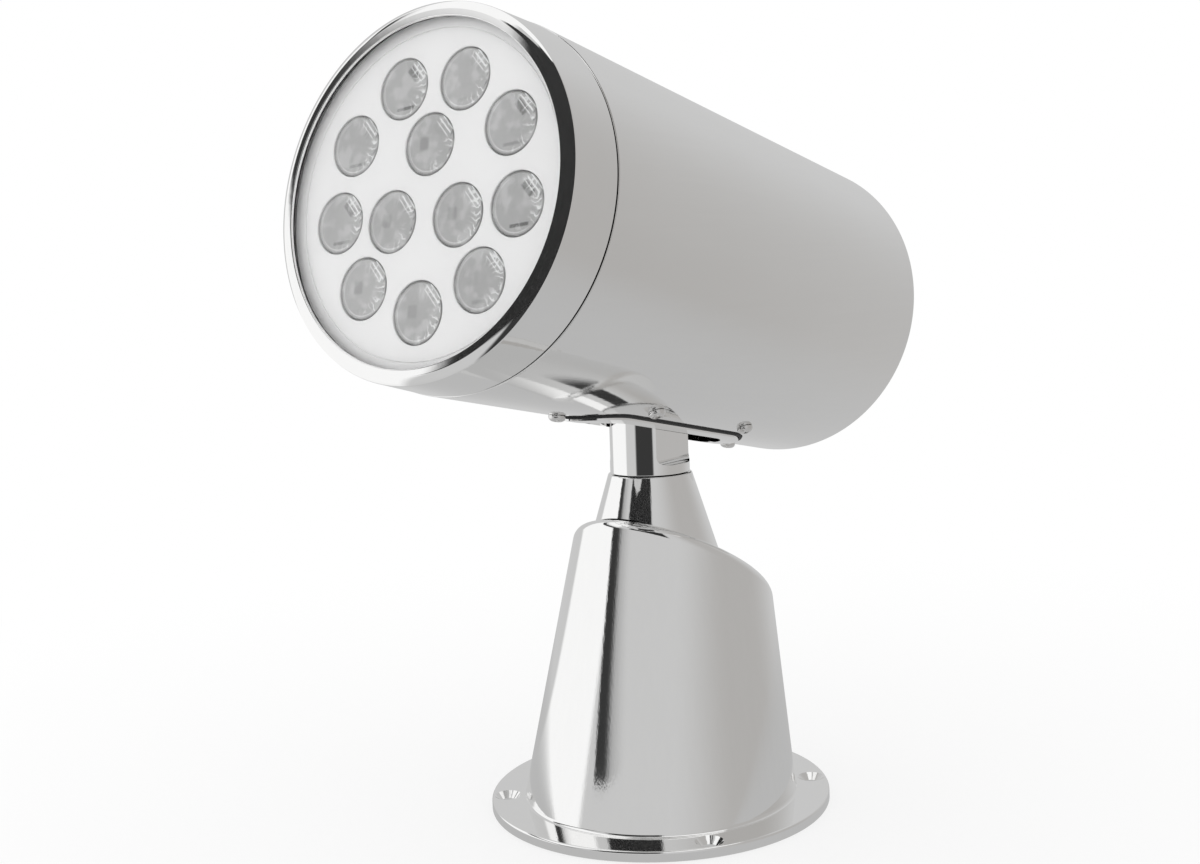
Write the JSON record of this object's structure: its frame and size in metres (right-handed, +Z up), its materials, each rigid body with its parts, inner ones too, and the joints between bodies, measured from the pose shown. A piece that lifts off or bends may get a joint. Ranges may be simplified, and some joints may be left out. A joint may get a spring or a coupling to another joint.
{
  "type": "remote-controlled searchlight",
  "caption": "Remote-controlled LED searchlight: a barrel head that tilts on a turning stem over a polished deck pedestal with a round flange.",
  "frame": {"origin": "middle of the mounting flange's underside, on the pan axis, at deck level", "axes": "+Z up along the pan axis; -Y is where the lamp points with both joints at zero, with the beam lifted 11.4 degrees as in the picture; +X is the lamp's left as it looks out"},
  "size_m": [0.1248, 0.2441, 0.2799],
  "materials": {
    "polished": "mirror-polished stainless steel",
    "brushed": "satin stainless steel",
    "screw_steel": "turned stainless steel",
    "bronze": "sintered bronze",
    "aluminium": "cast and machined",
    "black_rubber": "matt black",
    "black_plastic": "moulded black",
    "white_plate": "white powder coat",
    "clear_glass": "clear toughened glass",
    "lens_plastic": "clear moulded optic with a frosted pattern",
    "board_green": "green solder mask",
    "white_nylon": "moulded white"
  },
  "bodies": {
    "pedestal": {"pedestal_housing": "polished", "neck_collar": "polished", "pan_bush_upper": "bronze", "pan_bush_lower": "bronze", "pan_seal": "black_rubber", "gear_plate": "aluminium", "pan_motor": "screw_steel", "base_cover": "brushed", "cover_screw_1": "screw_steel", "cover_screw_2": "screw_steel", "cover_screw_3": "screw_steel", "cover_screw_4": "screw_steel", "control_board": "board_green", "cable_gland": "black_plastic"},
    "pan_pinion": {"pan_pinion": "bronze"},
    "yoke": {"stem": "polished", "pan_gear": "white_nylon", "shaft_nut": "screw_steel", "tilt_pin": "screw_steel", "pin_clip": "screw_steel", "tilt_gear": "white_nylon"},
    "head": {"barrel_tube": "brushed", "front_bezel": "polished", "front_gasket": "black_rubber", "front_glass": "clear_glass", "reflector_plate": "white_plate", "led_lens_01": "lens_plastic", "led_lens_02": "lens_plastic", "led_lens_03": "lens_plastic", "led_lens_04": "lens_plastic", "led_lens_05": "lens_plastic", "led_lens_06": "lens_plastic", "led_lens_07": "lens_plastic", "led_lens_08": "lens_plastic", "led_lens_09": "lens_plastic", "led_lens_10": "lens_plastic", "led_lens_11": "lens_plastic", "led_lens_12": "lens_plastic", "led_board": "white_plate", "heat_sink": "aluminium", "driver_board": "board_green", "rear_cap": "polished", "rear_screw_1": "screw_steel", "rear_screw_2": "screw_steel", "rear_screw_3": "screw_steel", "rear_screw_4": "screw_steel", "rear_seal": "black_rubber", "tilt_housing": "aluminium", "saddle_gasket": "black_rubber", "saddle_screw_1": "screw_steel", "saddle_screw_2": "screw_steel", "saddle_screw_3": "screw_steel", "saddle_screw_4": "screw_steel", "saddle_screw_5": "screw_steel", "saddle_screw_6": "screw_steel", "tilt_bush_left": "bronze", "tilt_bush_right": "bronze", "tilt_motor_bracket": "aluminium", "tilt_motor": "screw_steel"},
    "tilt_pinion": {"tilt_pinion": "bronze"}
  },
  "joints": [
    {"name": "pan", "type": "hinge", "parent": "pedestal", "child": "yoke", "pos_m": [0, 0, 0.121], "axis": [0, 0, 1], "range_deg": [-180, 180]},
    {"name": "pan_drive", "type": "hinge", "parent": "pedestal", "child": "pan_pinion", "pos_m": [0, 0.03, 0.052], "axis": [0, 0, 1], "range_deg": [-541, 541]},
    {"name": "tilt", "type": "hinge", "parent": "yoke", "child": "head", "pos_m": [0, 0, 0.161], "axis": [-1, 0, 0], "range_deg": [-41.4, 18.6]},
    {"name": "tilt_drive", "type": "hinge", "parent": "head", "child": "tilt_pinion", "pos_m": [0.021, 0.00336, 0.17766], "axis": [-1, 0, 0], "range_deg": [-76.5, 34.6]}
  ],
  "couplings": [
    {"joint": "pan_drive", "follows": "pan", "ratio": -3},
    {"joint": "tilt_drive", "follows": "tilt", "ratio": 1.8333}
  ]
}
